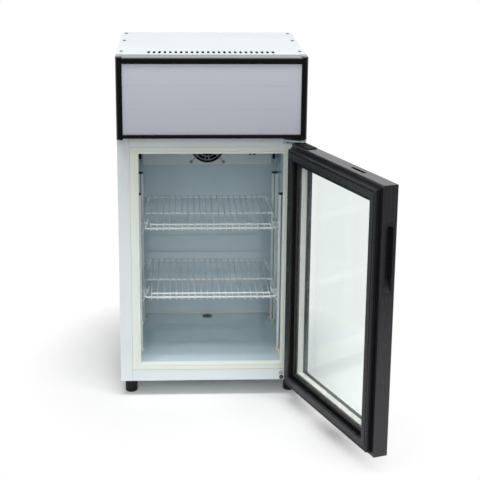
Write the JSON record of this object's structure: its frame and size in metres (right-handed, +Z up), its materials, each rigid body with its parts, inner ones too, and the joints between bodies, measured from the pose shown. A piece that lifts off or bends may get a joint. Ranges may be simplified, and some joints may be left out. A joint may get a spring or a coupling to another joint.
{
  "type": "glass door bar fridge",
  "caption": "Counter-height display fridge with a hinged glass door, wire shelves and a lit header that holds the cooling unit.",
  "frame": {"origin": "on the floor under the middle of the cabinet's footprint", "axes": "+X to the right seen from the front, +Y towards the back, +Z up; the door opens on the -Y side"},
  "size_m": [0.5737, 0.8664, 0.8232],
  "materials": {
    "white_sheet": "satin white coated steel",
    "cream_trim": "smooth cream extruded plastic",
    "liner_grey": "glossy pale grey plastic sheet",
    "foam": "rigid polyurethane foam",
    "black_gloss": "gloss black moulding",
    "diffuser": "translucent grey acrylic",
    "lamp_lens": "opal lamp lens",
    "door_profile": "anthracite satin extrusion",
    "glass": "clear float glass",
    "spacer_metal": "perforated spacer bar",
    "gasket_rubber": "soft black gasket",
    "black_plastic": "black moulded plastic",
    "zinc_steel": "zinc plated steel",
    "white_wire": "white plastic coated wire",
    "pilaster_white": "white plastic channel",
    "galvanised": "galvanised sheet",
    "copper": "drawn copper tube",
    "bare_aluminium": "plain aluminium",
    "compressor_black": "black painted steel shell",
    "mount_rubber": "moulded rubber"
  },
  "bodies": {
    "cabinet": {"side_panel_left": "white_sheet", "side_panel_right": "white_sheet", "base_panel": "white_sheet", "front_top_strip": "white_sheet", "top_cover": "white_sheet", "header_back_plate": "white_sheet", "fan_cover": "white_sheet", "trim_left": "cream_trim", "trim_right": "cream_trim", "trim_top": "cream_trim", "trim_bottom": "cream_trim", "liner": "liner_grey", "drain_spout": "liner_grey", "insulation_foam": "foam", "header_top_rail": "black_gloss", "header_bottom_rail": "black_gloss", "header_post_left": "black_gloss", "header_post_right": "black_gloss", "header_diffuser": "diffuser", "sign_lamps": "lamp_lens", "feet": "black_plastic", "pilaster_caps": "black_plastic", "evaporator_fan_frame": "black_plastic", "temperature_sensor": "black_plastic", "condenser_fan_frame": "black_plastic", "compressor_relay": "black_plastic", "thermostat": "black_plastic", "light_switch": "black_plastic", "cord_gland": "black_plastic", "hinge_bracket_top": "zinc_steel", "hinge_bracket_bottom": "zinc_steel", "hinge_screws": "zinc_steel", "top_cover_screws": "zinc_steel", "fan_guard": "zinc_steel", "shelf_pilasters": "pilaster_white", "shelf_clips": "pilaster_white", "rear_panel": "galvanised", "rear_grille": "galvanised", "machine_deck": "galvanised", "filter_drier": "copper", "refrigerant_pipes": "copper", "condenser": "bare_aluminium", "evaporator": "bare_aluminium", "compressor": "compressor_black", "compressor_mounts": "mount_rubber"},
    "door": {"door_stile_hinge": "door_profile", "door_stile_free": "door_profile", "door_rail_top": "door_profile", "door_rail_bottom": "door_profile", "glass_panes": "glass", "spacer_bar": "spacer_metal", "door_gasket": "gasket_rubber", "door_handle": "black_plastic", "hinge_blocks": "black_plastic"},
    "evaporator_fan_rotor": {"evaporator_fan_rotor": "black_plastic"},
    "condenser_fan_rotor": {"condenser_fan_rotor": "black_plastic"},
    "shelf_upper": {"shelf_upper": "white_wire"},
    "shelf_lower": {"shelf_lower": "white_wire"},
    "thermostat_knob": {"thermostat_knob": "black_plastic"},
    "light_switch_rocker": {"light_switch_rocker": "black_plastic"}
  },
  "joints": [
    {"name": "door_hinge", "type": "hinge", "parent": "cabinet", "child": "door", "pos_m": [0.206, -0.244, 0.334], "axis": [0, 0, 1], "range_deg": [-110, 10]},
    {"name": "evaporator_fan_spin", "type": "hinge", "parent": "cabinet", "child": "evaporator_fan_rotor", "pos_m": [0, 0.175, 0.536], "axis": [0, 1, 0], "continuous": true},
    {"name": "condenser_fan_spin", "type": "hinge", "parent": "cabinet", "child": "condenser_fan_rotor", "pos_m": [0.05, -0.069, 0.711], "axis": [0, 1, 0], "continuous": true},
    {"name": "shelf_upper_lift", "type": "slide", "parent": "cabinet", "child": "shelf_upper", "axis": [0, 0, 1], "range_m": [0, 0.06]},
    {"name": "shelf_lower_lift", "type": "slide", "parent": "cabinet", "child": "shelf_lower", "axis": [0, 0, 1], "range_m": [0, 0.06]},
    {"name": "thermostat_turn", "type": "hinge", "parent": "cabinet", "child": "thermostat_knob", "pos_m": [0.165, 0.214, 0.725], "axis": [0, -1, 0], "range_deg": [0, 300]},
    {"name": "light_switch_rock", "type": "hinge", "parent": "cabinet", "child": "light_switch_rocker", "pos_m": [0.165, 0.209, 0.777], "axis": [1, 0, 0], "range_deg": [0, 20]}
  ]
}
